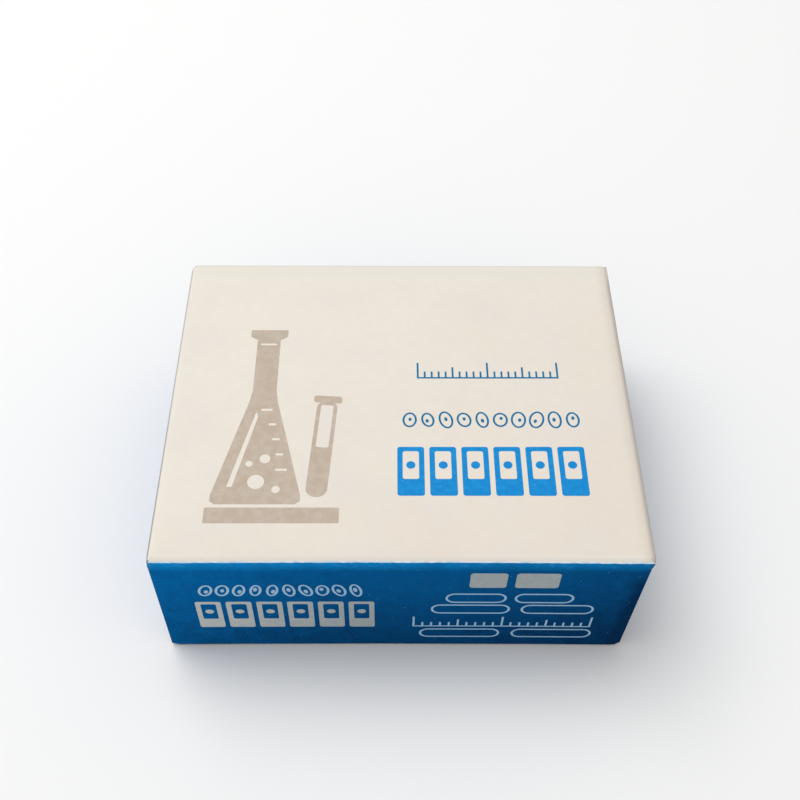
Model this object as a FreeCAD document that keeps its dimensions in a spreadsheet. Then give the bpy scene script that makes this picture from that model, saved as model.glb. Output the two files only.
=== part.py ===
import FreeCAD, Part
import math
import os
import Sketcher

# A two-piece telescoping carton of glass microscope slides.
#
# The lid and the tray are each one sheet of board, folded on four sides and glued at the corners. The short
# walls carry tabs that fold round the vertical corners and lie glued inside the long walls, so each corner
# shows the cut end of a long wall beside a narrow slit. The lid stands on the tray's rim. The slides stand on
# their long edges in the tray, face to face in one row.
#
# Millimetres, +Z up, +X along the slides, the front of the carton towards -Y. The origin is the middle of the
# footprint, on the surface that the carton rests on.

DIMENSIONS = [
    ("slide_length", 76.2, "long edge of a slide"),
    ("slide_width", 25.4, "short edge of a slide, upright in the carton"),
    ("slide_thickness", 1.2, "glass thickness"),
    ("slide_bevel", 0.15, "ground bevel round both faces of a slide"),
    ("slide_count", 50, "slides in the row"),
    ("slide_gap", 0.01, "air between neighbouring slides"),
    ("end_play", 1.8, "room for the slides along their length, both ends together"),
    ("face_play", 0.5, "room for the row of slides between the tray's tabs"),
    ("head_room", 3.2, "from the top of the slides to the tray's rim"),
    ("tray_board", 0.5, "board thickness of the tray"),
    ("lid_board", 0.5, "board thickness of the lid"),
    ("fold_radius", 0.3, "inner radius of every fold"),
    ("slip", 0.2, "clearance between the lid's tabs and the tray's long walls"),
    ("fold_clearance", 0.05, "clearance between the lid's folds and the tray's short walls"),
    ("rim_lift", 0.5, "height of the lid's rim above the surface that the carton rests on"),
    ("tab_length", 16.0, "glue tab, from the inside of the short wall to its free end"),
    ("tab_relief", 0.8, "from the tab's root to the closed panel, and to the rim"),
    ("tab_taper", 3.0, "how much the tab's free end draws in at each side"),
]

document = FreeCAD.newDocument("slide_box")
sheet = document.addObject("Spreadsheet::Sheet", "Dims")
for row, (alias, value, meaning) in enumerate(DIMENSIONS, start=1):
    sheet.set(f"A{row}", str(value))
    sheet.setAlias(f"A{row}", alias)
    sheet.set(f"B{row}", meaning)
document.recompute()

SAME_PLACE = 1e-6       # places closer than this are one place
ROUGH = 1.0             # a size that a bound dimension replaces at once

# Sizes that follow from the sheet, written as expressions.
PITCH = "(Dims.slide_thickness + Dims.slide_gap)"
ROW_DEPTH = f"(Dims.slide_count * {PITCH} - Dims.slide_gap)"
TRAY_LENGTH = "(Dims.slide_length + Dims.end_play + 2 * Dims.tray_board)"
TRAY_DEPTH = f"({ROW_DEPTH} + Dims.face_play + 4 * Dims.tray_board)"
TRAY_HEIGHT = "(Dims.tray_board + Dims.slide_width + Dims.head_room)"
LID_LENGTH = f"({TRAY_LENGTH} + 2 * (Dims.fold_radius + Dims.fold_clearance + Dims.lid_board))"
LID_DEPTH = f"({TRAY_DEPTH} + 2 * Dims.slip + 4 * Dims.lid_board)"
LID_TOP = f"({TRAY_HEIGHT} + Dims.lid_board)"
LID_HEIGHT = f"({LID_TOP} - Dims.rim_lift)"


def new_sketch(body, name, role, offset="0"):
    """A sketch on the body's own origin plane with this role, moved out along the plane's normal."""
    sketch = body.newObject("Sketcher::SketchObject", name)
    plane = next(feature for feature in body.Origin.OriginFeatures if feature.Role == role)
    sketch.AttachmentSupport = [(plane, "")]
    sketch.MapMode = "FlatFace"
    sketch.setExpression("AttachmentOffset.Base.z", offset)
    return sketch


def dimension(sketch, kind, places, name, expression):
    """A named driving constraint of the sketch, bound to an expression."""
    index = sketch.addConstraint(Sketcher.Constraint(kind, *places, ROUGH))
    sketch.renameConstraint(index, name)
    sketch.setExpression(f"Constraints.{name}", expression)


def add_lines(sketch, points):
    """A run of lines, each joined to the next, the last point left open. The points only show roughly how
    the lines lie. The constraints added later give every place and size."""
    first = sketch.GeometryCount
    for start, end in zip(points, points[1:]):
        sketch.addGeometry(Part.LineSegment(FreeCAD.Vector(*start), FreeCAD.Vector(*end)))
    for line in range(first, sketch.GeometryCount - 1):
        sketch.addConstraint(Sketcher.Constraint("Coincident", line, 2, line + 1, 1))
    return first


def rectangle(sketch, width, depth):
    """A rectangle centred on the sketch's origin, with sides along its axes."""
    bottom = add_lines(sketch, [(-1, -1), (1, -1), (1, 1), (-1, 1), (-1, -1)])
    right, top, left = bottom + 1, bottom + 2, bottom + 3
    sketch.addConstraint(Sketcher.Constraint("Coincident", left, 2, bottom, 1))
    for line in (bottom, top):
        sketch.addConstraint(Sketcher.Constraint("Horizontal", line))
    for line in (right, left):
        sketch.addConstraint(Sketcher.Constraint("Vertical", line))
    sketch.addConstraint(Sketcher.Constraint("Symmetric", bottom, 1, top, 1, -1, 1))
    dimension(sketch, "DistanceX", (bottom, 1, bottom, 2), "width", width)
    dimension(sketch, "DistanceY", (right, 1, right, 2), "depth", depth)


def names_of(kind, elements, wanted):
    """The names, such as Edge3, of the elements that pass the test."""
    return [f"{kind}{number}" for number, element in enumerate(elements, start=1) if wanted(element)]


def level(place):
    """A test for edges and faces that lie wholly at this height."""
    return lambda element: all(abs(vertex.Z - place) < SAME_PLACE for vertex in element.Vertexes)


def value(expression):
    """The number that an expression over the sheet gives."""
    return float(sheet.evalExpression(expression))


def folded_case(name, length, depth, height, board):
    """A sheet folded up round its closed panel, which lies at the bottom, with glued corners."""
    fold = f"(Dims.fold_radius + {board})"
    body = document.addObject("PartDesign::Body", name)
    body.Label = name

    # The folded sheet: the panel and its four walls, rounded where they fold up from the panel.
    plan = new_sketch(body, f"{name}_plan", "XY_Plane")
    rectangle(plan, length, depth)
    block = body.newObject("PartDesign::Pad", f"{name}_block")
    block.Profile = plan
    block.setExpression("Length", height)
    document.recompute()
    folds = body.newObject("PartDesign::Fillet", f"{name}_folds")
    folds.Base = (block, names_of("Edge", block.Shape.Edges, level(0)))
    folds.setExpression("Radius", fold)
    document.recompute()
    shell = body.newObject("PartDesign::Thickness", f"{name}_shell")
    shell.Base = (folds, names_of("Face", folds.Shape.Faces, level(value(height))))
    shell.setExpression("Value", board)
    shell.Reversed = True

    # A glue tab, which lies inside the front wall from its root at the short wall.
    outline = new_sketch(body, f"{name}_tab_outline", "XZ_Plane", f"{depth} / 2 - {board}")
    root = add_lines(outline, [(9, 1), (9, 9), (5, 8), (5, 2), (9, 1)])
    upper, free_end, lower = root + 1, root + 2, root + 3
    outline.addConstraint(Sketcher.Constraint("Coincident", lower, 2, root, 1))
    outline.addConstraint(Sketcher.Constraint("Vertical", root))
    outline.addConstraint(Sketcher.Constraint("Vertical", free_end))
    dimension(outline, "DistanceX", (-1, 1, root, 1), "root_place", f"{length} / 2 - {board}")
    dimension(outline, "DistanceY", (-1, 1, root, 1), "root_bottom", f"{board} + Dims.tab_relief")
    dimension(outline, "DistanceY", (-1, 1, root, 2), "root_top", f"{height} - Dims.tab_relief")
    dimension(outline, "DistanceX", (upper, 2, upper, 1), "tab_length", "Dims.tab_length")
    dimension(outline, "DistanceY", (upper, 2, upper, 1), "upper_taper", "Dims.tab_taper")
    dimension(outline, "DistanceY", (lower, 2, lower, 1), "lower_taper", "Dims.tab_taper")
    tab = body.newObject("PartDesign::Pad", f"{name}_tab")
    tab.Profile = outline
    tab.setExpression("Length", board)
    tab.Reversed = True

    # The slit between the cut end of the front wall and the fold that the tab turns round.
    slit_plan = new_sketch(body, f"{name}_slit_plan", "XY_Plane", height)
    along = add_lines(slit_plan, [(5, -5), (9, -5), (9, -1)])
    across = along + 1
    rough_circle = Part.Circle(FreeCAD.Vector(5, -1, 0), FreeCAD.Vector(0, 0, 1), 4)
    bend = slit_plan.addGeometry(Part.ArcOfCircle(rough_circle, -math.pi / 2, 0))
    slit_plan.addConstraint(Sketcher.Constraint("Tangent", along, 1, bend, 1))
    slit_plan.addConstraint(Sketcher.Constraint("Tangent", bend, 2, across, 2))
    slit_plan.addConstraint(Sketcher.Constraint("Horizontal", along))
    slit_plan.addConstraint(Sketcher.Constraint("Vertical", across))
    dimension(slit_plan, "DistanceX", (-1, 1, along, 2), "end_place", f"{length} / 2")
    dimension(slit_plan, "DistanceY", (along, 2, -1, 1), "wall_inside", f"{depth} / 2 - {board}")
    dimension(slit_plan, "Radius", (bend,), "bend_radius", fold)
    slit = body.newObject("PartDesign::Pocket", f"{name}_slit")
    slit.Profile = slit_plan
    slit.setExpression("Length", f"{height} - {fold}")
    document.recompute()

    # The same tab and slit at the other three corners.
    corners = body.newObject("PartDesign::MultiTransform", f"{name}_corners")
    corners.Originals = [tab, slit]
    mirrors = []
    for role in ("YZ_Plane", "XZ_Plane"):
        mirror = document.addObject("PartDesign::Mirrored", f"{name}_mirror_{role[:2].lower()}")
        plane = next(feature for feature in body.Origin.OriginFeatures if feature.Role == role)
        mirror.MirrorPlane = (plane, [""])
        mirrors.append(mirror)
    corners.Transformations = mirrors
    body.Tip = corners
    document.recompute()

    # The inside of the vertical folds, between each short wall and its tabs.
    side = value(f"{length} / 2 - {board}")
    front = value(f"{depth} / 2 - 2 * {board}")

    def is_corner(edge):
        return all(
            abs(abs(vertex.X) - side) < SAME_PLACE and abs(abs(vertex.Y) - front) < SAME_PLACE
            for vertex in edge.Vertexes
        )

    bends = body.newObject("PartDesign::Fillet", f"{name}_bends")
    bends.Base = (corners, names_of("Edge", corners.Shape.Edges, is_corner))
    bends.setExpression("Radius", "Dims.fold_radius")
    body.Tip = bends
    return body


def glass_slide(number):
    """One slide of the row, counted from the front, its long lower edge on the tray's floor."""
    name = f"slide_{number:02d}"
    body = document.addObject("PartDesign::Body", name)
    body.Label = name
    face = new_sketch(body, f"{name}_face", "XZ_Plane")
    rectangle(face, "Dims.slide_length", "Dims.slide_width")
    plate = body.newObject("PartDesign::Pad", f"{name}_plate")
    plate.Profile = face
    plate.setExpression("Length", "Dims.slide_thickness")
    plate.Reversed = True
    document.recompute()

    # The ground bevels run round both faces and leave the four short corner edges sharp.
    bevels = body.newObject("PartDesign::Chamfer", f"{name}_bevels")
    around_faces = names_of("Edge", plate.Shape.Edges, lambda edge: edge.BoundBox.YLength < SAME_PLACE)
    bevels.Base = (plate, around_faces)
    bevels.setExpression("Size", "Dims.slide_bevel")
    body.Tip = bevels
    body.setExpression("Placement.Base.y", f"{number - 1} * {PITCH} - {ROW_DEPTH} / 2")
    body.setExpression("Placement.Base.z", "Dims.tray_board + Dims.slide_width / 2")
    return body


tray = folded_case("tray", TRAY_LENGTH, TRAY_DEPTH, TRAY_HEIGHT, "Dims.tray_board")

# The lid is the same folded form turned over, its panel resting on the tray's rim.
lid = folded_case("lid", LID_LENGTH, LID_DEPTH, LID_HEIGHT, "Dims.lid_board")
lid.Placement = FreeCAD.Placement(FreeCAD.Vector(), FreeCAD.Rotation(FreeCAD.Vector(1, 0, 0), 180))
lid.setExpression("Placement.Base.z", LID_TOP)

slides = [glass_slide(number) for number in range(1, int(value("Dims.slide_count")) + 1)]
document.recompute()

for thing in document.Objects:
    if {"Invalid", "Error"} & set(thing.State):
        raise RuntimeError(f"{thing.Name} failed: {thing.State}")
pieces = [tray, lid] + slides
for piece in pieces:
    if piece.Shape.isNull() or not piece.Shape.isValid() or len(piece.Shape.Solids) != 1:
        raise RuntimeError(f"{piece.Label} is not one valid solid")

os.makedirs("parts", exist_ok=True)
for piece in pieces:
    piece.Shape.exportStep(f"parts/{piece.Label}.step")
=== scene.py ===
import math
import random

import bpy
from mathutils import Matrix, Vector, noise
from mathutils.geometry import delaunay_2d_cdt


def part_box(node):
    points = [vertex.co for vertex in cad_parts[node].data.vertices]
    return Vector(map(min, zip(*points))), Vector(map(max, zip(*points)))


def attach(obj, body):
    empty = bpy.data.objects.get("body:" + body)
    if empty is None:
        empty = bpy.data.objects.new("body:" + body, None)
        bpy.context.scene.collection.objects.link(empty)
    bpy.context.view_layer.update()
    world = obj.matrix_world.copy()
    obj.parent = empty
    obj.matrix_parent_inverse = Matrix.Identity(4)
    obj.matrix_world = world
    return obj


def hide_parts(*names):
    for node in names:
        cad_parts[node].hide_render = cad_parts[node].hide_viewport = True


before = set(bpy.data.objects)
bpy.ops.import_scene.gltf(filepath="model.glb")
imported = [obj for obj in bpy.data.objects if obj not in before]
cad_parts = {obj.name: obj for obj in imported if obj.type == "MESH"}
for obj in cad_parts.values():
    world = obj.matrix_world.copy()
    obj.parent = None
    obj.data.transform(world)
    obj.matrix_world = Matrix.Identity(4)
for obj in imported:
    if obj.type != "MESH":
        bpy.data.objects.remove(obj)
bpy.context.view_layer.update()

# A closed two-piece carton of microscope slides. The lid and the tray are each modelled as the real ones are
# made: a flat blank of board is laid out with its print, and then folded. +X is to the right along the
# front, +Y to the back and +Z up. Sizes are in millimetres, apart from the floor's and the light's.

MM = 0.001
QUARTER = math.pi / 2


def box_mm(node):
    """The lowest and highest corners of a CAD node, in millimetres."""
    low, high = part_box(node)
    return low / MM, high / MM


LID_LOW, LID_HIGH = box_mm("lid")
TRAY_LOW, TRAY_HIGH = box_mm("tray")
SLIDE_LOW, _ = box_mm("slide_01")
LID_BOARD = LID_HIGH.z - TRAY_HIGH.z
TRAY_BOARD = SLIDE_LOW.z - TRAY_LOW.z
HALF_LENGTH = LID_HIGH.x
HALF_DEPTH = LID_HIGH.y
TOP = LID_HIGH.z

# Folds and cuts.
LID_FOLD = 1.0           # outer radius of the lid's soft folds
TRAY_FOLD = 0.8          # outer radius of the tray's folds
FOLD_STEPS = 8           # flat strips that make up one fold
CUT_ROUND = 0.015        # how far a cut edge is rounded back
CUT_CHAMFER = 0.1        # how deep into the board that rounding goes
TAB_LENGTH = 16.0        # glue tab, from the inside of the short wall
TAB_RELIEF = 0.8         # from a tab to the closed panel and to the rim
TAB_TAPER = 3.0          # how much a tab narrows at each side
TAB_GLUE = 0.03          # glue between a tab and its long wall
CORNER_SLIT = 0.12       # slit between a tab and the ear of board above it
CORNER_SEAM = 0.012      # from a cut end to the middle of the seam at a corner
SQUARE_BELOW = 1.0       # a cut end's mitre turns square over this much of the wall below the fold

# How closely the meshes follow the board.
GRID = 1.5               # spacing of the points on flat board
CORNER_GRID = 0.4        # and along the ends of the walls and folds, where the corners are worn round
END_GRID = 0.1           # but no nearer than this to the end of a fold
FIRST_ROW = 0.35         # from a fold to the first row of points on the flat board beside it
MERGED = 1e-4            # points of a blank that are nearer than this become one

# How the used carton has gone out of true, always inwards.
LEAN = 0.6               # the lid's short walls lean to the left towards their rims
RIGHT_STEP = 0.3         # the right wall is pressed in below its fold
STEP_START = 0.25 * LID_FOLD  # and comes to that between these two drops
STEP_END = 1.5 * LID_FOLD
FRONT_BOW = 0.25         # the front wall bows in between its corners
BOW_CENTRE = -8.0        # and is deepest left of the middle
BOW_START = 12.0         # from here forwards the carton follows the bow
WAVER = 0.04             # the long walls waver inwards towards their rims
WAVER_LENGTH = 14.0
WAVER_START = 20.0       # from here outwards
SOFT_REACH = 2.1         # edges and corners are squashed rounder, this far from the outside
BACK_SLOPE = 0.1         # the panel slopes down to the back edge
BACK_SLOPE_REACH = 3.0
RIGHT_SLOPE = 0.25       # and unevenly down to the right edge
RIGHT_SLOPE_REACH = 3.0
RIGHT_SLOPE_START = 9.0  # which takes this long to grow from nothing at the back corner
RIGHT_SLOPE_RIPPLE = 9.0
SAG = 0.15               # the panel sags in the middle
TRAY_RIGHT_PRESS = 0.75  # the tray's short walls follow the lid's inwards
TRAY_LEFT_PRESS = 0.7
TRAY_BOW = 0.6           # share of the lid's bow that the tray's front wall takes
RIM_GAP = 0.03           # play between the tray's rim and the panel

# How much the carton's edges are squashed, from 0 for square to 1 for fully round.
SOFT_TOP_RIGHT = 0.65
SOFT_TOP_LEFT = 0.2
SOFT_TOP_FRONT = 0.85
SOFT_TOP_BACK = 0.2
SOFT_FRONT_RIGHT = 0.85
SOFT_FRONT_LEFT = 0.5
SOFT_BACK_RIGHT = 0.17
SOFT_BACK_LEFT = 0.83
HELD_CORNER = 0.4        # share by which the panel keeps the corners' tops squarer than the edges below them


def smooth(value, low, high):
    """0 below low, 1 above high, and an even curve between."""
    t = min(1.0, max(0.0, (value - low) / (high - low)))
    return t * t * (3 - 2 * t)


def steps(low, high, spacing):
    """Evenly spaced values from low to high, about this far apart, with both ends."""
    count = max(1, round((high - low) / spacing))
    return [low + (high - low) * step / count for step in range(count + 1)]


def ripple(x, y, z, wavelength):
    """Slow unevenness of pressed board, from 0 to 1."""
    return 0.5 + 0.5 * noise.noise(Vector((x, y, z)) / wavelength)


# -------------------------------------------------------------------------------------------- folding


class Case:
    """Half of the carton: one sheet of board, folded round its closed panel and glued at the corners.

    The flat blank has u along the panel and v across it, both from the panel's middle. Depth goes into the
    board from its outer face, and drop is the distance from the closed panel's outer face. The long walls
    are at the front and back, and the short walls at the ends carry the glue tabs.
    """

    def __init__(self, low, high, board, radius):
        self.half_length = high.x
        self.half_depth = high.y
        self.board = board
        self.radius = radius
        self.arc = radius * QUARTER
        self.fold_u = self.half_length - radius
        self.fold_v = self.half_depth - radius
        self.wall = high.z - low.z - radius     # length of the flat part of a wall
        self.rim_u = self.fold_u + self.arc + self.wall
        self.rim_v = self.fold_v + self.arc + self.wall
        # The ears of the short walls reach to ear_v, and the tabs beside them begin to turn at tab_v.
        self.ear_v = self.half_depth - board - CUT_ROUND - CORNER_SEAM
        self.tab_v = self.half_depth - board - TAB_GLUE - radius
        self.tab_u = self.fold_u + self.arc + board + TAB_RELIEF - radius   # the tabs' sides by the panel
        self.tab_end = TAB_LENGTH + board - radius                          # length of their flat part

    def is_short(self, u, v):
        """Whether a point outside the panel belongs to a short wall or its tab."""
        over_u = abs(u) - self.fold_u
        over_v = abs(v) - self.fold_v
        return over_u > self.radius + CORNER_SLIT or over_u > over_v

    def fold(self, over, depth):
        """(reach outwards, drop, wall) of a point that lies this far past the start of a fold."""
        turn = min(over / self.radius, QUARTER)
        wall = max(0.0, over - self.arc)
        left = self.radius - depth
        return left * math.sin(turn), self.radius - left * math.cos(turn) + wall, wall

    def mitred(self, over, depth, wall):
        """How far a point past the panel's corner stays out, so that the two walls meet at 45 degrees."""
        square = smooth(wall, 0.0, SQUARE_BELOW)
        return over * (1 - depth / self.radius * (1 - square))

    def folded(self, u, v, depth, short):
        """(x, y, drop) of a point of the blank once it is folded."""
        along, across = (abs(v), abs(u)) if short else (abs(u), abs(v))
        start_along, start_across = (self.fold_v, self.fold_u) if short else (self.fold_u, self.fold_v)
        if across <= start_across:
            return u, v, depth
        reach, drop, wall = self.fold(across - start_across, depth)
        across = start_across + reach
        if short and abs(u) > self.tab_u - CORNER_SLIT / 2 and along > self.tab_v:
            turn = min((along - self.tab_v) / self.radius, QUARTER)
            flat = max(0.0, along - self.tab_v - self.arc)
            left = self.radius - depth
            along = self.tab_v + left * math.sin(turn)
            across = self.fold_u + left * math.cos(turn) - flat
        elif along > start_along:
            along = start_along + self.mitred(along - start_along, depth, wall)
        x, y = (across, along) if short else (along, across)
        return math.copysign(x, u), math.copysign(y, v), drop

    def mitre(self, turn):
        """How far past its fold a wall reaches at this turn of the other fold, less seam and rounding."""
        return self.radius * math.sin(turn) - (CUT_ROUND + CORNER_SEAM) * math.hypot(1, math.cos(turn))

    def stations(self, fold, reach):
        """Places along a fold or a wall that goes from -reach to reach, closer together near its ends."""
        even = steps(-fold + GRID, fold - GRID, GRID)
        outer = steps(fold - GRID, fold + self.radius, CORNER_GRID)[1:]
        close = [place for place in outer if place < reach - END_GRID]
        return [-place for place in reversed(close)] + even + close

    def tab_narrowing(self, along):
        """How much narrower a tab is at each side, this far along the blank past its root."""
        turn = min(along / self.radius, QUARTER)
        flat = max(0.0, along - self.arc)
        from_root = self.radius * (1 - math.cos(turn)) - self.board + flat
        return TAB_TAPER * max(0.0, from_root) / TAB_LENGTH

    def fold_turns(self):
        """The angles at which a fold's flat strips meet."""
        return [QUARTER * step / FOLD_STEPS for step in range(FOLD_STEPS + 1)]

    def corner(self):
        """The blank's outline in one quarter, from the short wall's rim round to the long wall's rim."""
        turns = self.fold_turns()
        tab_run = [self.radius * turn for turn in turns] + [self.arc + self.tab_end]
        tab_low = [(self.rim_u - TAB_RELIEF - self.tab_narrowing(run), self.tab_v + run) for run in tab_run]
        tab_high = [(self.tab_u + self.tab_narrowing(run), self.tab_v + run) for run in reversed(tab_run)]
        ear = [
            (self.tab_u - CORNER_SLIT, self.tab_v),
            (self.tab_u - CORNER_SLIT, self.ear_v),
            (self.fold_u + self.arc, self.ear_v),
        ]
        short_mitre = [
            (self.fold_u + self.radius * turn, min(self.ear_v, self.fold_v + self.mitre(turn)))
            for turn in reversed(turns[:-1])
        ]
        long_mitre = [(self.fold_u + self.mitre(turn), self.fold_v + self.radius * turn) for turn in turns]
        short_rim = [(self.rim_u - CUT_ROUND, self.tab_v)]
        long_rim = [(self.half_length - CUT_ROUND, self.rim_v - CUT_ROUND)]
        return short_rim + tab_low + tab_high + ear + short_mitre + long_mitre + long_rim

    def outline(self):
        """The whole blank's outline, anticlockwise, with points about every GRID along straight runs."""
        quarter = self.corner()
        loop = list(quarter)
        loop += [(-u, v) for u, v in reversed(quarter)]
        loop += [(-u, -v) for u, v in quarter]
        loop += [(u, -v) for u, v in reversed(quarter)]
        return divided(loop, GRID)

    def creases(self):
        """Lines across the blank that the triangles keep to, so that every fold is even strips."""
        lines = []
        for turn in self.fold_turns():
            reach_u = self.fold_u + self.mitre(turn)
            reach_v = min(self.ear_v, self.fold_v + self.mitre(turn))
            columns = self.stations(self.fold_u, reach_u)
            rows = self.stations(self.fold_v, reach_v)
            for sign in (-1, 1):
                v = sign * (self.fold_v + self.radius * turn)
                u = sign * (self.fold_u + self.radius * turn)
                lines.append([(-reach_u, v)] + [(column, v) for column in columns] + [(reach_u, v)])
                lines.append([(u, -reach_v)] + [(u, row) for row in rows] + [(u, reach_v)])
        for turn in self.fold_turns():
            run = self.radius * turn
            low = self.tab_u + self.tab_narrowing(run)
            high = self.rim_u - TAB_RELIEF - self.tab_narrowing(run)
            for sign_u in (-1, 1):
                for sign_v in (-1, 1):
                    v = sign_v * (self.tab_v + run)
                    lines.append([(sign_u * u, v) for u in steps(low, high, GRID)])
        return lines

    def grid(self):
        """Loose points on the panel, the walls and the tabs."""
        columns = steps(-self.fold_u + GRID, self.fold_u - GRID, GRID)
        rows = steps(-self.fold_v + GRID, self.fold_v - GRID, GRID)
        points = [(u, v) for u in columns for v in rows]
        points += [(u, sign * (self.fold_v - FIRST_ROW)) for u in columns for sign in (-1, 1)]
        points += [(sign * (self.fold_u - FIRST_ROW), v) for v in rows for sign in (-1, 1)]
        wall_columns = self.stations(self.fold_u, self.half_length)
        for wall in [FIRST_ROW] + steps(GRID, self.wall - GRID / 2, GRID):
            for sign in (-1, 1):
                points += [(u, sign * (self.fold_v + self.arc + wall)) for u in wall_columns]
                points += [(sign * (self.fold_u + self.arc + wall), v) for v in rows if abs(v) < self.tab_v]
        for wall in steps(TAB_TAPER + GRID, self.wall - TAB_TAPER - GRID, GRID):
            for along in steps(FIRST_ROW, self.tab_end - GRID, GRID):
                for sign_u in (-1, 1):
                    for sign_v in (-1, 1):
                        u = sign_u * (self.fold_u + self.arc + wall)
                        v = sign_v * (self.tab_v + self.arc + along)
                        points.append((u, v))
        return points


def divided(loop, spacing):
    """A closed loop with extra points along its longer runs."""
    result = []
    for (x0, y0), (x1, y1) in zip(loop, loop[1:] + loop[:1]):
        count = max(1, round(math.hypot(x1 - x0, y1 - y0) / spacing))
        result += [(x0 + (x1 - x0) * k / count, y0 + (y1 - y0) * k / count) for k in range(count)]
    return result


def triangulated(case, fields):
    """The blank's points and its triangles, each triangle with the finish of the last field over it."""
    coords, edges, faces = [], [], []

    def add(points):
        first = len(coords)
        coords.extend(Vector(point) for point in points)
        return list(range(first, len(coords)))

    faces.append(add(case.outline()))
    for shape, _finish in fields:
        faces.append(add(shape))
    for line in case.creases():
        run = add(line)
        edges.extend(zip(run, run[1:]))
    add(case.grid())
    # 1 asks for the triangles inside the faces. Each comes with its sources, the faces that it lies in.
    points, _, triangles, _, _, sources = delaunay_2d_cdt(coords, edges, faces, 1, MERGED)
    kept = [(tri, max(source)) for tri, source in zip(triangles, sources) if 0 in source]
    finishes = [None] + [finish for _shape, finish in fields]
    return points, [tri for tri, _ in kept], [finishes[last] for _, last in kept]


def cut_edges(triangles):
    """The directed edges of the triangles that border no other triangle."""
    directed = {(tri[k], tri[k - 2]) for tri in triangles for k in range(3)}
    return [(a, b) for a, b in directed if (b, a) not in directed]


def outward(points, border):
    """For each point on the cut edges, the unit direction out of the sheet."""
    total = {}
    for a, b in border:
        run = (points[b] - points[a]).normalized()
        for point in (a, b):
            total[point] = total.get(point, Vector((0, 0))) + Vector((run.y, -run.x))
    return {point: direction.normalized() for point, direction in total.items()}


def folded_mesh(name, case, fields, finishes, base, inside, cut, place):
    """One closed mesh of a folded sheet.

    fields are (shape, finish) pairs, each over those before it. base, inside and cut name the finishes of
    the rest of the outer face, of the inner face and of the cut edges, whose outer rounding keeps the outer
    face's finish. place puts (x, y, drop) into the frame, in millimetres.
    """
    points, triangles, faces_finish = triangulated(case, fields)
    border = cut_edges(triangles)
    out = outward(points, border)
    used = sorted({point for tri in triangles for point in tri})
    vertices = []
    # The outer face, two rings round the cut edges and the inner face, each as (push outwards, depth).
    levels = [{}, {}, {}, {}]
    rings = [
        (0.0, 0.0),
        (CUT_ROUND, CUT_CHAMFER),
        (CUT_ROUND, case.board - CUT_CHAMFER),
        (0.0, case.board),
    ]
    for level, (push, depth) in zip(levels, rings):
        for point in out if push else used:
            u, v = points[point]
            short = case.is_short(u, v)
            if push:
                u += push * out[point].x
                v += push * out[point].y
            level[point] = len(vertices)
            vertices.append(place(*case.folded(u, v, depth, short)))
    outer, inner = levels[0], levels[3]
    faces, slots, beside = [], [], {}
    for tri, finish in zip(triangles, faces_finish):
        faces.append([outer[point] for point in tri])
        slots.append(finishes.index(finish or base))
        beside.update({(tri[k], tri[k - 2]): slots[-1] for k in range(3)})
        faces.append([inner[point] for point in reversed(tri)])
        slots.append(finishes.index(inside))
    for upper, lower in zip(levels, levels[1:]):
        for a, b in border:
            faces.append([upper[b], upper[a], lower[a], lower[b]])
            slots.append(beside[a, b] if upper is outer else finishes.index(cut))
    mesh = bpy.data.meshes.new(name)
    mesh.from_pydata([[axis * MM for axis in vertex] for vertex in vertices], [], faces)
    mesh.polygons.foreach_set("material_index", slots)
    mesh.validate()
    piece = bpy.data.objects.new(name, mesh)
    bpy.context.scene.collection.objects.link(piece)
    return piece


# ------------------------------------------------------------------------- how it has gone out of true


def nearness(place, outside):
    """1 on the outside of the carton, and down to 0 at SOFT_REACH inside it."""
    return max(0.0, 1 - (outside - place) / SOFT_REACH)


def tucked(near, near_first, soft_first, near_second, soft_second):
    """How far inwards the wear takes a place along one axis, as a share of SOFT_REACH, from how near it is
    to the outside along all three axes and how soft its two edges are."""
    left = 1 - soft_first * near_first**2 / 2 - soft_second * near_second**2 * (1 - near_first**2 / 2) / 2
    return near * (1 - math.sqrt(left))


def squashed(x, y, z):
    """A place in the square-edged closed carton, moved to where it lies with the edges and corners worn
    round. The lid and the tray share it."""
    end = SOFT_TOP_RIGHT if x > 0 else SOFT_TOP_LEFT
    side = SOFT_TOP_FRONT if y < 0 else SOFT_TOP_BACK
    if y < 0:
        upright = SOFT_FRONT_RIGHT if x > 0 else SOFT_FRONT_LEFT
    else:
        upright = SOFT_BACK_RIGHT if x > 0 else SOFT_BACK_LEFT
    near_x = nearness(abs(x), HALF_LENGTH)
    near_y = nearness(abs(y), HALF_DEPTH)
    near_z = nearness(z, TOP)
    upright *= 1 - HELD_CORNER * near_z
    in_x = tucked(near_x, near_y, upright, near_z, end) * SOFT_REACH
    in_y = tucked(near_y, near_x, upright, near_z, side) * SOFT_REACH
    in_z = tucked(near_z, near_x, end, near_y, side) * SOFT_REACH
    return x - math.copysign(in_x, x), y - math.copysign(in_y, y), z - in_z


def sunk(x, y):
    """How far the closed carton has sunk at a place on its top. The lid and the tray share it, so they stay
    in touch along the rim."""
    middle = (1 - (x / HALF_LENGTH) ** 2) * (1 - (y / HALF_DEPTH) ** 2)
    back = max(0.0, (y - HALF_DEPTH + BACK_SLOPE_REACH) / BACK_SLOPE_REACH)
    right = max(0.0, (x - HALF_LENGTH + RIGHT_SLOPE_REACH) / RIGHT_SLOPE_REACH)
    uneven = ripple(0, y, 0, RIGHT_SLOPE_RIPPLE) * smooth(HALF_DEPTH - y, 0.0, RIGHT_SLOPE_START)
    return SAG * max(0.0, middle) + BACK_SLOPE * back**2 + RIGHT_SLOPE * uneven * right**2


def pressed(x, left, right):
    """A place moved inwards by these amounts at the two ends, and in proportion between."""
    return x * (1 - (right if x > 0 else left) / HALF_LENGTH)


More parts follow.
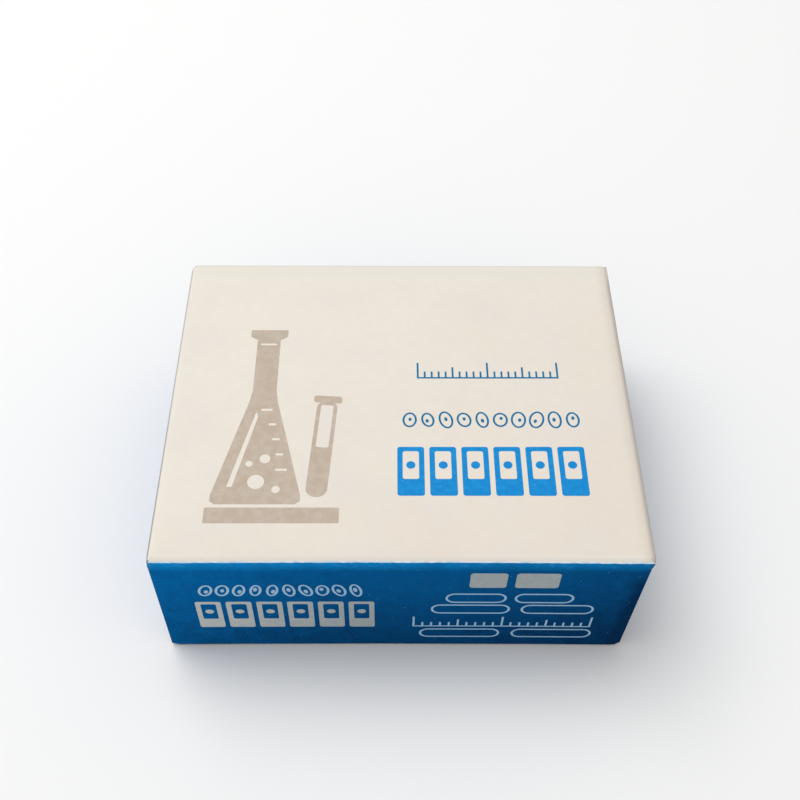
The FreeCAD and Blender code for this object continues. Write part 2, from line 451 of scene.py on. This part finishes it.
def bow(x, y):
    """How far the lid's front wall bows in."""
    from_centre = (x - BOW_CENTRE) / (HALF_LENGTH - BOW_CENTRE)
    return FRONT_BOW * (1 - from_centre**2) * smooth(-y, BOW_START, HALF_DEPTH - LID_FOLD)


def waver(x, y, z, drop):
    """How far the lid's long walls waver in."""
    share = smooth(drop, LID_FOLD, TOP) * smooth(abs(y), WAVER_START, HALF_DEPTH)
    return WAVER * ripple(x, y, z, WAVER_LENGTH) * share


def place_lid(x, y, drop):
    """A point of the folded lid, out of true as it is."""
    x, y, z = squashed(x, y, TOP - drop)
    level = z / TOP
    step = RIGHT_STEP * smooth(drop, STEP_START, STEP_END)
    moved_x = pressed(x, LEAN * level, LEAN * (1 - level) + step)
    moved_y = y + bow(x, y) - math.copysign(waver(x, y, z, drop), y)
    return moved_x, moved_y, z - sunk(x, y) * level


def place_tray(x, y, drop):
    """A point of the folded tray, pressed in by the lid at its ends and its front. The tray is folded up, so
    its drop goes upwards, and y is mirrored to keep its outer face outwards."""
    x, y, z = squashed(x, -y, TRAY_LOW.z + drop * (1 - RIM_GAP / TRAY_HIGH.z))
    moved_x = pressed(x, TRAY_LEFT_PRESS, TRAY_RIGHT_PRESS)
    return moved_x, y + TRAY_BOW * bow(x, y), z - sunk(x, y) * z / TOP


# --------------------------------------------------------------------------------------- print shapes

CELLS = 10                   # in each row of cells
CELL_HEIGHTS = (0.82, 1.0)   # shares of the row's height
CELL_WIDTHS = (0.36, 0.43)   # half a cell's width, as shares of the cells' pitch
CELL_LEAN = 0.35             # a cell leans by up to this either way
NUCLEUS = 0.8                # half a nucleus's width, as a share of the cell's wall
NUCLEUS_ROAM = 0.5           # how much of the room beside it a nucleus may take up
TICKS = 20                   # divisions of each scale
MIDDLE_TICK = 0.72           # shares of the long tick's length
SHORT_TICK = 0.45
TICK_ROUND = 0.2             # share of the stroke
SLIDES = 6                   # in each row of slides
SLIDE_GAP = 0.16             # between two of them, as a share of their pitch
SLIDE_BORDER = 0.2           # round the clear part, as a share of a slide's width
SLIDE_LABEL = 0.34           # the solid label end, as a share of a slide's height
SPECIMEN = 0.17              # the specimen's radius, as a share of a slide's width
FIELD_HEIGHT = 3.3           # of a blank label field
FIELD_STROKE = 0.4


def turned(points, centre, angle):
    """Points turned about a centre, anticlockwise."""
    c, s = math.cos(angle), math.sin(angle)
    x0, y0 = centre
    return [(x0 + c * (x - x0) - s * (y - y0), y0 + s * (x - x0) + c * (y - y0)) for x, y in points]


def oval(x, y, radius_x, radius_y, lean=0.0, sides=28):
    """An ellipse about its middle."""
    angles = [math.tau * k / sides for k in range(sides)]
    ring = [(x + radius_x * math.cos(angle), y + radius_y * math.sin(angle)) for angle in angles]
    return turned(ring, (x, y), lean)


def disc(x, y, radius):
    """A round spot about its middle."""
    return oval(x, y, radius, radius)


def bar(low_x, low_y, high_x, high_y, rounding, rounds=5):
    """A rectangle with rounded corners, each of this many short sides."""
    shape = []
    corners = [
        (high_x - rounding, low_y + rounding, -QUARTER),
        (high_x - rounding, high_y - rounding, 0.0),
        (low_x + rounding, high_y - rounding, QUARTER),
        (low_x + rounding, low_y + rounding, 2 * QUARTER),
    ]
    for x, y, start in corners:
        for k in range(rounds + 1):
            angle = start + QUARTER * k / rounds
            shape.append((x + rounding * math.cos(angle), y + rounding * math.sin(angle)))
    return shape


def label_field(low_x, low_y, high_x, high_y, stroke, ink, paper):
    """The outline of a bar with round ends, as a blank field on a label."""
    radius = (high_y - low_y) / 2
    inner = radius - stroke
    return [
        (bar(low_x, low_y, high_x, high_y, radius, rounds=8), ink),
        (bar(low_x + stroke, low_y + stroke, high_x - stroke, high_y - stroke, inner, rounds=8), paper),
    ]


def cells(low_x, low_y, width, height, stroke, ink, paper, seed):
    """A row of cells under a microscope: a wall round each, and a nucleus off its centre."""
    draw = random.Random(seed)
    pitch = width / CELLS
    fields = []
    for number in range(CELLS):
        x = low_x + pitch * (number + 0.5)
        y = low_y + height / 2
        radius_y = height / 2 * draw.uniform(*CELL_HEIGHTS)
        radius_x = pitch * draw.uniform(*CELL_WIDTHS)
        lean = draw.uniform(-CELL_LEAN, CELL_LEAN)
        fields.append((oval(x, y, radius_x, radius_y, lean), ink))
        fields.append((oval(x, y, radius_x - stroke, radius_y - stroke, lean), paper))
        wide = stroke * NUCLEUS
        tall = wide * radius_y / radius_x
        x += draw.uniform(-NUCLEUS_ROAM, NUCLEUS_ROAM) * (radius_x - stroke - wide)
        y += draw.uniform(-NUCLEUS_ROAM, NUCLEUS_ROAM) * (radius_y - stroke - tall)
        fields.append((oval(x, y, wide, tall, lean, sides=16), ink))
    return fields


def scale_line(low_x, low_y, width, height, stroke, ink):
    """A stage graticule: a ruled line with short, middle and long ticks."""
    rounding = stroke * TICK_ROUND
    fields = [(bar(low_x, low_y, low_x + width, low_y + stroke, rounding, rounds=1), ink)]
    for number in range(TICKS + 1):
        if number % 10 == 0:
            tick = height
        elif number % 5 == 0:
            tick = height * MIDDLE_TICK
        else:
            tick = height * SHORT_TICK
        x = low_x + (width - stroke) * number / TICKS
        fields.append((bar(x, low_y, x + stroke, low_y + tick, rounding, rounds=1), ink))
    return fields


def slide_row(low_x, low_y, width, height, ink, paper):
    """A row of microscope slides on end, each with a solid label end and a specimen in its clear part."""
    pitch = width / (SLIDES - SLIDE_GAP)
    wide = pitch * (1 - SLIDE_GAP)
    border = wide * SLIDE_BORDER
    clear_low = low_y + height * SLIDE_LABEL
    clear_high = low_y + height - border
    fields = []
    for number in range(SLIDES):
        x = low_x + pitch * number
        fields.append((bar(x, low_y, x + wide, low_y + height, border * 0.5), ink))
        fields.append((bar(x + border, clear_low, x + wide - border, clear_high, border * 0.4), paper))
        fields.append((disc(x + wide / 2, (clear_low + clear_high) / 2, wide * SPECIMEN), ink))
    return fields


def flask(x, y, ink, paper):
    """A conical flask with a line round its neck, a highlight, graduations and bubbles."""
    centre = x + 8.1
    # Half of its outline, as (half the width, height): base, body, neck and lip.
    half = [(6.6, 3.6), (7.4, 4.2), (7.4, 5.4), (2.5, 24.5), (2.1, 27.0), (2.1, 38.6)]
    half += [(3.4, 39.4), (3.4, 41.0)]
    outline = [(centre + wide, y + high) for wide, high in half]
    outline += [(centre - wide, y + high) for wide, high in reversed(half)]
    highlight = [(x + 3.2, y + 7.0), (x + 4.1, y + 7.0), (x + 7.4, y + 21.4), (x + 7.0, y + 22.4)]
    fields = [
        (outline, ink),
        (bar(x + 6.6, y + 37.4, x + 9.6, y + 37.8, 0.2, rounds=2), paper),
        (highlight, paper),
    ]
    for number, length in enumerate((2.0, 1.3, 1.3, 1.3, 2.0)):
        down = 3.1 * number
        level = y + 22.6 - down
        end = x + 9.8 + 0.26 * down
        fields.append((bar(end - length, level, end, level + 0.45, 0.1, rounds=1), paper))
    for right, up, radius in ((8.0, 8.0, 1.4), (11.4, 6.5, 0.7), (6.6, 11.6, 0.6), (9.2, 12.6, 0.9)):
        fields.append((disc(x + right, y + up, radius), paper))
    return fields


def test_tube(x, y, ink, paper):
    """A test tube with a lip and an empty upper part, leaning against the flask."""
    foot = (x + 18.0, y + 5.0)
    lean = -0.07
    return [
        (turned(bar(x + 16.2, y + 5.0, x + 19.8, y + 25.0, 1.75, rounds=7), foot, lean), ink),
        (turned(bar(x + 15.5, y + 24.4, x + 20.5, y + 25.9, 0.5), foot, lean), ink),
        (turned(bar(x + 16.9, y + 15.0, x + 19.1, y + 23.9, 0.4), foot, lean), paper),
    ]


def glassware(x, y, ink, paper):
    """The picture on the panel, about 22 wide and 41 high: a flask and a test tube on a base bar."""
    base = (bar(x, y, x + 22.0, y + 3.0, 0.3), ink)
    return [base] + flask(x, y, ink, paper) + test_tube(x, y, ink, paper)


# ------------------------------------------------------------------------------------------ the print

# The blue stops part of the way round the panel's folds. A pale line lies along it, rubbed board with a
# painted highlight of the fold's crest, and the panel's cream begins inside that. Each is this far past the
# start of a fold, at the ends and at the front and back.
CREASE_PAST_ENDS = 1.345
CREASE_PAST_SIDES = 0.95
CREAM_PAST_ENDS = 1.21
CREAM_PAST_SIDES = 0.72
RAGGED = 0.028           # how ragged the edges of both are, either way
RAGGED_SPACING = 0.6


def ragged_frame(case, past_ends, past_sides, seed):
    """A slightly ragged outline that runs round the panel, this far past the start of its folds."""
    draw = random.Random(seed)
    reach_u = case.fold_u + past_ends
    reach_v = case.fold_v + past_sides
    corners = [(-reach_u, -reach_v), (reach_u, -reach_v), (reach_u, reach_v), (-reach_u, reach_v)]
    loop = divided(corners, RAGGED_SPACING)
    return [(u + draw.uniform(-RAGGED, RAGGED), v + draw.uniform(-RAGGED, RAGGED)) for u, v in loop]


def panel_ground(case):
    """The pale crease, rubbed board with a painted highlight, and the panel's cream over it."""
    return [
        (ragged_frame(case, CREASE_PAST_ENDS, CREASE_PAST_SIDES, seed=11), "crease"),
        (ragged_frame(case, CREAM_PAST_ENDS, CREAM_PAST_SIDES, seed=12), "cream"),
    ]


def panel_print():
    """The beige picture and the blue block on the lid's panel, placed from the panel's middle."""
    fields = glassware(-32.0, -25.5, "beige", "cream")
    fields += scale_line(3.0, 4.3, width=25.0, height=3.6, stroke=0.34, ink="fine_blue")
    fields += cells(0.1, -6.6, width=31.0, height=3.7, stroke=0.36, ink="fine_blue", paper="cream", seed=3)
    fields += slide_row(-0.5, -20.2, width=31.3, height=9.8, ink="blue", paper="cream")
    return fields


def front_print(case):
    """The pale block on the lid's front wall, placed by drops below the panel."""

    def v_at(drop):
        return -(case.fold_v + case.arc + drop - case.radius)

    low = v_at(11.3)
    fields = cells(-33.2, low, width=27.3, height=4.4, stroke=0.42, ink="fine_pale", paper="flood", seed=8)
    fields += slide_row(-34.1, v_at(22.3), width=29.8, height=9.3, ink="pale", paper="flood")
    for low_u, high_u in ((11.2, 17.2), (18.6, 25.7)):
        fields.append((bar(low_u, v_at(8.1), high_u, v_at(3.3), 0.6), "pale"))
    for drop, spans in (
        (13.4, ((7.5, 17.7), (19.0, 28.9))),
        (17.3, ((5.2, 18.6), (20.4, 32.8))),
        (26.3, ((3.4, 17.6), (19.6, 33.8))),
    ):
        for low_u, high_u in spans:
            high = v_at(drop - FIELD_HEIGHT)
            fields += label_field(low_u, v_at(drop), high_u, high, FIELD_STROKE, "fine_pale", "flood")
    fields += scale_line(2.2, v_at(22.2), width=31.0, height=3.7, stroke=0.36, ink="fine_pale")
    return fields


# ------------------------------------------------------------------------------------------ materials


def srgb(red, green, blue):
    """A linear colour from the usual 0 to 255 numbers."""
    result = []
    for channel in (red / 255, green / 255, blue / 255):
        result.append(channel / 12.92 if channel <= 0.04045 else ((channel + 0.055) / 1.055) ** 2.4)
    return (*result, 1.0)


class Finish:
    """A material with one Principled shader, and short ways to add the nodes that feed it."""

    def __init__(self, name, roughness, specular):
        self.material = bpy.data.materials.new(name)
        self.material.use_nodes = True
        self.tree = self.material.node_tree
        self.shader = self.tree.nodes["Principled BSDF"]
        self.shader.inputs["Roughness"].default_value = roughness
        self.shader.inputs["Specular IOR Level"].default_value = specular
        where = self.tree.nodes.new("ShaderNodeTexCoord")
        self.place = where.outputs["Object"]
        self.normal = where.outputs["Normal"]

    def feed(self, socket, value):
        """A value or another node's output goes into a socket."""
        if isinstance(value, bpy.types.NodeSocket):
            self.tree.links.new(value, socket)
        else:
            socket.default_value = value

    def noise(self, size, detail=2.0, roughness=0.5, stretch=(1, 1, 1)):
        """Soft noise from 0 to 1, with features about this many millimetres across."""
        scaled = self.tree.nodes.new("ShaderNodeVectorMath")
        scaled.operation = "MULTIPLY"
        self.feed(scaled.inputs[0], self.place)
        scaled.inputs[1].default_value = [axis / (size * MM) for axis in stretch]
        node = self.tree.nodes.new("ShaderNodeTexNoise")
        node.inputs["Scale"].default_value = 1.0
        node.inputs["Detail"].default_value = detail
        node.inputs["Roughness"].default_value = roughness
        self.feed(node.inputs["Vector"], scaled.outputs[0])
        return node.outputs["Fac"]

    def specks(self, spacing, size):
        """1 in small scattered specks of this size, and 0 elsewhere, in millimetres."""
        node = self.tree.nodes.new("ShaderNodeTexVoronoi")
        node.inputs["Scale"].default_value = 1 / (spacing * MM)
        self.feed(node.inputs["Vector"], self.place)
        return self.ramp(node.outputs["Distance"], size / spacing, 0.5 * size / spacing)

    def flocked_specks(self, spacing, size, flock, low, high=0.6):
        """Specks that come in flocks of about this size, where the flocks' noise goes from low to high."""
        return self.times(self.specks(spacing, size), self.ramp(self.noise(flock), low, high))

    def ramp(self, source, low, high, to_low=0.0, to_high=1.0):
        """A value eased from one range to another and held at its ends."""
        node = self.tree.nodes.new("ShaderNodeMapRange")
        node.interpolation_type = "SMOOTHSTEP"
        self.feed(node.inputs["Value"], source)
        for name, value in (("From Min", low), ("From Max", high), ("To Min", to_low), ("To Max", to_high)):
            self.feed(node.inputs[name], value)
        return node.outputs["Result"]

    def axis(self, name, vector=None):
        """One axis of a vector, or of the place in the frame, in metres."""
        node = self.tree.nodes.new("ShaderNodeSeparateXYZ")
        self.feed(node.inputs[0], vector or self.place)
        return node.outputs[name]

    def across(self, name, low, high, to_low=0.0, to_high=1.0):
        """A value eased from one place along an axis to another, in millimetres."""
        return self.ramp(self.axis(name), low * MM, high * MM, to_low, to_high)

    def outwards(self, name, low, high):
        """0 up to one distance from the carton's middle along an axis, either way, and 1 from another."""
        return self.ramp(self.size_of(self.axis(name)), low * MM, high * MM)

    def facing(self, name, low, high, to_low=0.0, to_high=1.0):
        """A value eased by how far the surface faces along an axis."""
        return self.ramp(self.axis(name, self.normal), low, high, to_low, to_high)

    def maths(self, operation, first, second):
        """Two values put together by one of Blender's operations on numbers."""
        node = self.tree.nodes.new("ShaderNodeMath")
        node.operation = operation
        self.feed(node.inputs[0], first)
        self.feed(node.inputs[1], second)
        return node.outputs[0]

    def plus(self, first, second):
        """The sum of two values."""
        return self.maths("ADD", first, second)

    def times(self, first, second):
        """The product of two values."""
        return self.maths("MULTIPLY", first, second)

    def size_of(self, value):
        """A value without its sign."""
        return self.maths("ABSOLUTE", value, 0.0)

    def mix(self, factor, first, second):
        """One colour turning into another. The sockets with numbers are the node's ones for colours."""
        node = self.tree.nodes.new("ShaderNodeMix")
        node.data_type = "RGBA"
        self.feed(node.inputs["Factor"], factor)
        self.feed(node.inputs[6], first)
        self.feed(node.inputs[7], second)
        return node.outputs[2]

    def over(self, under, colour, mask, strength):
        """A colour with another laid over it, as far as the mask and the strength allow."""
        return self.mix(self.times(mask, strength), under, colour)

    def colour(self, value):
        """The surface takes this colour."""
        self.feed(self.shader.inputs["Base Color"], value)

    def bump(self, height, depth, normal=None):
        """Relief of this depth in millimetres."""
        node = self.tree.nodes.new("ShaderNodeBump")
        node.inputs["Distance"].default_value = depth * MM
        self.feed(node.inputs["Height"], height)
        if normal is not None:
            self.feed(node.inputs["Normal"], normal)
        self.feed(self.shader.inputs["Normal"], node.outputs["Normal"])
        return node.outputs["Normal"]


def paper_relief(finish):
    """The faint tooth and waviness of coated board."""
    wavy = finish.bump(finish.noise(6.0, detail=1.0), 0.03)
    finish.bump(finish.noise(0.35, detail=3.0), 0.006, wavy)


def cream_board():
    """The panel's cream board, warmer towards the front right corner, with faint blotches and a few specks.
    It is painted paler along the front fold as a painted highlight, darker along the right edge and the left
    and right folds as painted shade, and greyer along the back fold."""
    finish = Finish("cream_board", roughness=0.62, specular=0.25)
    slant = finish.maths("SUBTRACT", finish.axis("X"), finish.axis("Y"))
    warmth = finish.ramp(slant, -HALF_LENGTH * MM, 1.5 * HALF_LENGTH * MM, 0.0, 0.55)
    blotch = finish.ramp(finish.noise(17.0, detail=3.0), 0.4, 0.7, -0.05, 0.25)
    colour = finish.mix(finish.plus(warmth, blotch), srgb(234, 227, 215), srgb(230, 218, 205))
    cool = finish.ramp(finish.noise(8.0, detail=4.0), 0.45, 0.65)
    colour = finish.over(colour, srgb(228, 223, 217), cool, 0.4)
    pulp = finish.ramp(finish.noise(1.5, detail=3.0), 0.35, 0.65)
    colour = finish.over(colour, srgb(220, 210, 198), pulp, 0.12)

    back = finish.across("Y", HALF_DEPTH - 4.5, HALF_DEPTH - 2.5)
    colour = finish.over(colour, srgb(228, 224, 212), back, 0.7)
    back_fold = finish.across("Y", HALF_DEPTH - 1.1, HALF_DEPTH - 0.8)
    colour = finish.over(colour, srgb(208, 205, 198), back_fold, 0.6)
    # Painted highlight: the cream is made paler along the front fold.
    front_fold_highlight = finish.across("Y", -(HALF_DEPTH - 2.1), -(HALF_DEPTH - 0.9))
    colour = finish.over(colour, srgb(246, 241, 231), front_fold_highlight, 0.5)

    # Painted shade darkens the right edge and the right fold, less at the back corner, and the left fold,
    # more towards the front.
    right = finish.across("X", HALF_LENGTH - 3.2, HALF_LENGTH - 1.2)
    colour = finish.over(colour, srgb(208, 195, 181), right, 0.35)
    right_fold_shade = finish.across("X", HALF_LENGTH - 1.6, HALF_LENGTH - 0.3)
    shade_strength = finish.across("Y", HALF_DEPTH - 2, HALF_DEPTH - 6, 0.15, 0.8)
    colour = finish.over(colour, srgb(178, 175, 169), right_fold_shade, shade_strength)
    left_fold_shade = finish.across("X", -(HALF_LENGTH - 1.18), -(HALF_LENGTH - 0.84))
    shade_strength = finish.across("Y", 0.5 * HALF_DEPTH, -0.9 * HALF_DEPTH, 0.6, 0.9)
    colour = finish.over(colour, srgb(140, 140, 143), left_fold_shade, shade_strength)

    colour = finish.over(colour, srgb(180, 165, 145), finish.flocked_specks(2.6, 0.11, 4.0, 0.52), 0.3)
    finish.colour(colour)
    paper_relief(finish)
    return finish.material


def rubbed_crease_and_highlight():
    """The bare coated surface along the edge of the print, where the fold has rubbed, made paler as a
    painted highlight of the fold's crest.
    """
    finish = Finish("rubbed_crease_and_highlight", roughness=0.55, specular=0.3)
    patches = finish.ramp(finish.noise(1.2), 0.35, 0.65)
    finish.colour(finish.mix(patches, srgb(236, 244, 248), srgb(204, 226, 240)))
    return finish.material


def blue_darkening(finish):
    """How dark the blue is made: darker towards the right end, in part painted shade, and darker towards the
    rim and by the front wall's right corner as painted shade, less so on the right end wall, cloudy and
    mottled."""
    # Painted shade: in part the darkening towards the right end, and all of it towards the rim and by the
    # front wall's right corner.
    along = finish.across("X", -44, -5, 0.0, 0.33)
    far = finish.across("X", 0, 45, 0.0, 0.24)
    down = finish.across("Z", TOP - 2, TOP - 26, 0.0, 0.34)
    end = finish.across("X", 35.5, 39.6, 0.0, 0.4)
    end = finish.times(end, finish.across("Z", TOP - 2, TOP - 8, 0.1, 1.0))
    end = finish.times(end, finish.facing("Y", -0.4, -0.8))
    long_walls = finish.facing("X", 0.4, 0.9, 1.0, 0.0)
    right = finish.times(finish.plus(far, end), long_walls)
    mottle = finish.ramp(finish.noise(0.45, detail=3.0), 0.3, 0.7, 0.11, -0.12)
    cloud = finish.ramp(finish.noise(3.2, detail=4.0), 0.35, 0.65, -0.08, 0.08)
    evener = finish.across("X", -30, 2, 1.0, 0.48)
    uneven = finish.times(finish.plus(mottle, cloud), evener)
    even = finish.plus(finish.plus(along, down), right)
    return finish.maths("MINIMUM", finish.plus(even, uneven), 0.96)


def blue_flood():
    """The blue ink over the lid's walls, specked with pale board, made lighter along the folds as a painted
    highlight, with rubbed scuffs there, and rubbed lighter at the upper corners."""
    finish = Finish("blue_ink", roughness=0.5, specular=0.0)
    # The blue runs from lightest to darkest with the painted shade and darkening worked out above.
    lightest_blue = (0.003, 0.140, 0.405, 1.0)
    darkest_blue = (0.003, 0.024, 0.078, 1.0)
    ink = finish.mix(blue_darkening(finish), lightest_blue, darkest_blue)
    ink = finish.over(ink, srgb(92, 165, 222), finish.flocked_specks(1.4, 0.15, 2.2, 0.46), 0.5)

    # Painted highlight: the blue is made lighter just below the top fold, more so towards the left, in
    # patches.
    fold = finish.across("Z", TOP - 3.0, TOP - 0.8)
    fold_highlight = finish.across("X", -25, 15, 0.62, 0.45)
    patches = finish.ramp(finish.noise(5.0, detail=3.0), 0.35, 0.65, 0.8, 1.15)
    highlight_blue = (0.006, 0.28, 0.70, 1.0)
    ink = finish.over(ink, highlight_blue, finish.times(fold, fold_highlight), patches)
    scuffs = finish.ramp(finish.noise(0.55, detail=4.0, stretch=(0.55, 1, 1)), 0.5, 0.72)
    scuffs = finish.times(scuffs, finish.ramp(finish.noise(5.0), 0.35, 0.6))
    ink = finish.over(ink, srgb(50, 145, 212), finish.times(fold, scuffs), 0.5)
    out_x = finish.outwards("X", HALF_LENGTH - 2, HALF_LENGTH)
    out_y = finish.outwards("Y", HALF_DEPTH - 6, HALF_DEPTH - 1)
    corner = finish.times(fold, finish.times(out_x, out_y))
    corner = finish.times(corner, finish.ramp(finish.noise(1.5), 0.3, 0.6))
    ink = finish.over(ink, srgb(150, 180, 190), corner, 0.4)
    finish.colour(ink)
    paper_relief(finish)
    return finish.material


def blue_print(name, light, dark):
    """The blue inks of the block on the panel."""
    finish = Finish(name, roughness=0.5, specular=0.1)
    ink = finish.mix(finish.ramp(finish.noise(0.9, detail=4.0), 0.4, 0.7), light, dark)
    finish.colour(finish.over(ink, srgb(200, 215, 225), finish.flocked_specks(1.1, 0.1, 1.7, 0.5), 0.4))
    paper_relief(finish)
    return finish.material


def beige_print():
    """The beige-grey ink of the picture, thin enough to let the board show in pale flecks."""
    finish = Finish("beige_print", roughness=0.6, specular=0.2)
    mottle = finish.ramp(finish.noise(1.3, detail=4.0), 0.35, 0.7)
    ink = finish.mix(mottle, srgb(190, 174, 157), srgb(199, 185, 169))
    finish.colour(finish.over(ink, srgb(228, 219, 205), finish.flocked_specks(0.9, 0.11, 2.4, 0.47), 0.7))
    paper_relief(finish)
    return finish.material


def bare_print(name, left, right):
    """The board left bare in the blue, toned by the ink beside it, and darker towards the right end as
    painted shade.
    """
    finish = Finish(name, roughness=0.55, specular=0.1)
    # Painted shade: darker towards the right end.
    along = finish.across("X", -0.95 * HALF_LENGTH, -0.1 * HALF_LENGTH)
    tone = finish.ramp(finish.noise(0.8, detail=4.0), 0.35, 0.7, -0.2, 0.15)
    finish.colour(finish.mix(finish.plus(along, tone), left, right))
    paper_relief(finish)
    return finish.material


def grey_board(name, light, dark):
    """Unprinted grey board, with the fibres of recycled pulp."""
    finish = Finish(name, roughness=0.85, specular=0.15)
    pulp = finish.ramp(finish.noise(0.7, detail=5.0, roughness=0.7), 0.25, 0.75)
    colour = finish.mix(pulp, light, dark)
    fibres = finish.ramp(finish.noise(0.5, detail=3.0, stretch=(0.25, 1, 1)), 0.63, 0.72)
    finish.colour(finish.over(colour, srgb(120, 112, 102), fibres, 0.35))
    finish.bump(finish.noise(0.3, detail=4.0), 0.012)
    return finish.material


def slide_glass():
    """Clear soda-lime glass. The large faces are polished, and the ground edges scatter a pale green."""
    finish = Finish("clear_glass", roughness=0.03, specular=0.5)
    finish.shader.inputs["IOR"].default_value = 1.52
    ground = finish.ramp(finish.size_of(finish.axis("Y", finish.normal)), 0.9, 0.6)
    grain = finish.ramp(finish.noise(0.25, detail=2.0), 0.3, 0.7)
    frost = finish.mix(grain, (0.62, 0.76, 0.70, 1.0), (0.74, 0.85, 0.80, 1.0))
    finish.colour(finish.mix(ground, (0.93, 0.98, 0.96, 1.0), frost))
    finish.feed(finish.shader.inputs["Roughness"], finish.ramp(ground, 0.0, 1.0, 0.03, 0.55))
    finish.feed(finish.shader.inputs["Transmission Weight"], finish.ramp(ground, 0.0, 1.0, 1.0, 0.35))
    return finish.material


def pale_floor():
    """The plain floor's even, matt off-white."""
    finish = Finish("pale_floor", roughness=0.9, specular=0.1)
    finish.colour((0.94, 0.94, 0.935, 1.0))
    return finish.material


# ----------------------------------------------------------------------------------------- the pieces

SHARP_ANGLE = math.radians(38)


def finish_piece(piece, materials, body, node):
    """A folded piece gets its materials, rides on its body and stands for its CAD node."""
    for material in materials:
        piece.data.materials.append(material)
    piece.data.shade_smooth()
    piece.data.set_sharp_from_angle(angle=SHARP_ANGLE)
    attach(piece, body)
    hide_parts(node)


def build_lid(grey, cut):
    """The printed half: blue walls round a cream panel, and bare grey board inside."""
    case = Case(LID_LOW, LID_HIGH, LID_BOARD, LID_FOLD)
    fields = panel_ground(case) + panel_print() + front_print(case)
    materials = {
        "flood": blue_flood(),
        "crease": rubbed_crease_and_highlight(),
        "cream": cream_board(),
        "beige": beige_print(),
        "blue": blue_print("blue_print", srgb(18, 137, 209), srgb(28, 147, 215)),
        "fine_blue": blue_print("fine_blue_print", srgb(24, 110, 155), srgb(36, 122, 170)),
        # The bare board on the front is given darker, greyed colours: painted shade of the front wall.
        "pale": bare_print("bare_print", (0.53, 0.56, 0.545, 1.0), (0.36, 0.405, 0.42, 1.0)),
        "fine_pale": bare_print("fine_bare_print", (0.40, 0.60, 0.77, 1.0), (0.31, 0.50, 0.69, 1.0)),
        "grey": grey,
        "cut": cut,
    }
    piece = folded_mesh("lid_sheet", case, fields, list(materials), "flood", "grey", "cut", place_lid)
    finish_piece(piece, materials.values(), "lid", "lid")


def build_tray(grey, cut):
    """The plain half, of bare grey board all over."""
    case = Case(TRAY_LOW, TRAY_HIGH, TRAY_BOARD, TRAY_FOLD)
    piece = folded_mesh("tray_sheet", case, [], ["grey", "cut"], "grey", "grey", "cut", place_tray)
    finish_piece(piece, [grey, cut], "tray", "tray")


def finish_slides(glass):
    """The CAD slides keep their meshes and get the glass."""
    for name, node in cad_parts.items():
        if name.startswith("slide_"):
            for slot in node.material_slots:
                slot.material = glass


# -------------------------------------------------------------------------- floor, light and camera

# In metres and watts.
FLOOR_HALF = 4.0
SKY_STRENGTH = 0.56
KEY_PLACE = (-0.35, 0.25, 0.95)
KEY_SIZE = 0.8
KEY_POWER = 6.3
CARTON_MIDDLE = (0, 0, 0.015)

CAMERA_PLACE = Vector((-1.6, -113.1, 175.4)) * MM
CAMERA_YAW = math.radians(0.82)
CAMERA_PITCH = math.radians(52.34)
CAMERA_ROLL = math.radians(0.73)
LENS = 47.87


def build_floor():
    """A plain square of floor."""
    corners = [(x * FLOOR_HALF, y * FLOOR_HALF, 0) for x, y in ((-1, -1), (1, -1), (1, 1), (-1, 1))]
    mesh = bpy.data.meshes.new("floor")
    mesh.from_pydata(corners, [], [(0, 1, 2, 3)])
    floor = bpy.data.objects.new("floor", mesh)
    bpy.context.scene.collection.objects.link(floor)
    mesh.materials.append(pale_floor())


def build_light():
    """An even white sky, and one square softbox above that faces the carton."""
    world = bpy.data.worlds.new("studio")
    world.use_nodes = True
    sky = world.node_tree.nodes["Background"]
    sky.inputs["Color"].default_value = (1.0, 1.0, 1.0, 1.0)
    sky.inputs["Strength"].default_value = SKY_STRENGTH
    bpy.context.scene.world = world
    lamp = bpy.data.lights.new("key", "AREA")
    lamp.size = KEY_SIZE
    lamp.energy = KEY_POWER
    light = bpy.data.objects.new("key", lamp)
    light.location = KEY_PLACE
    aim = Vector(CARTON_MIDDLE) - Vector(KEY_PLACE)
    light.rotation_euler = aim.to_track_quat("-Z", "Y").to_euler()
    bpy.context.scene.collection.objects.link(light)
    bpy.context.scene.view_settings.view_transform = "Standard"


def build_camera():
    """The camera stands in front of the carton and looks down on it."""
    camera = bpy.data.cameras.new("camera")
    camera.lens = LENS
    camera.clip_start = 0.01
    camera.clip_end = 20.0
    holder = bpy.data.objects.new("camera", camera)
    # It is upright and looks along +Y, then it is tilted down and turned to the right, and the roll turns it
    # about its own axis.
    look = Matrix.Rotation(-CAMERA_YAW, 3, "Z") @ Matrix.Rotation(QUARTER - CAMERA_PITCH, 3, "X")
    turn = look @ Matrix.Rotation(CAMERA_ROLL, 3, "Z")
    holder.matrix_world = Matrix.Translation(CAMERA_PLACE) @ turn.to_4x4()
    bpy.context.scene.collection.objects.link(holder)
    bpy.context.scene.camera = holder


def main():
    """Everything in the scene."""
    build_camera()
    build_light()
    build_floor()
    grey = grey_board("pulp_board", srgb(172, 166, 156), srgb(162, 155, 145))
    cut = grey_board("cut_board", srgb(164, 158, 149), srgb(144, 138, 129))
    build_lid(grey, cut)
    build_tray(grey, cut)
    finish_slides(slide_glass())


main()
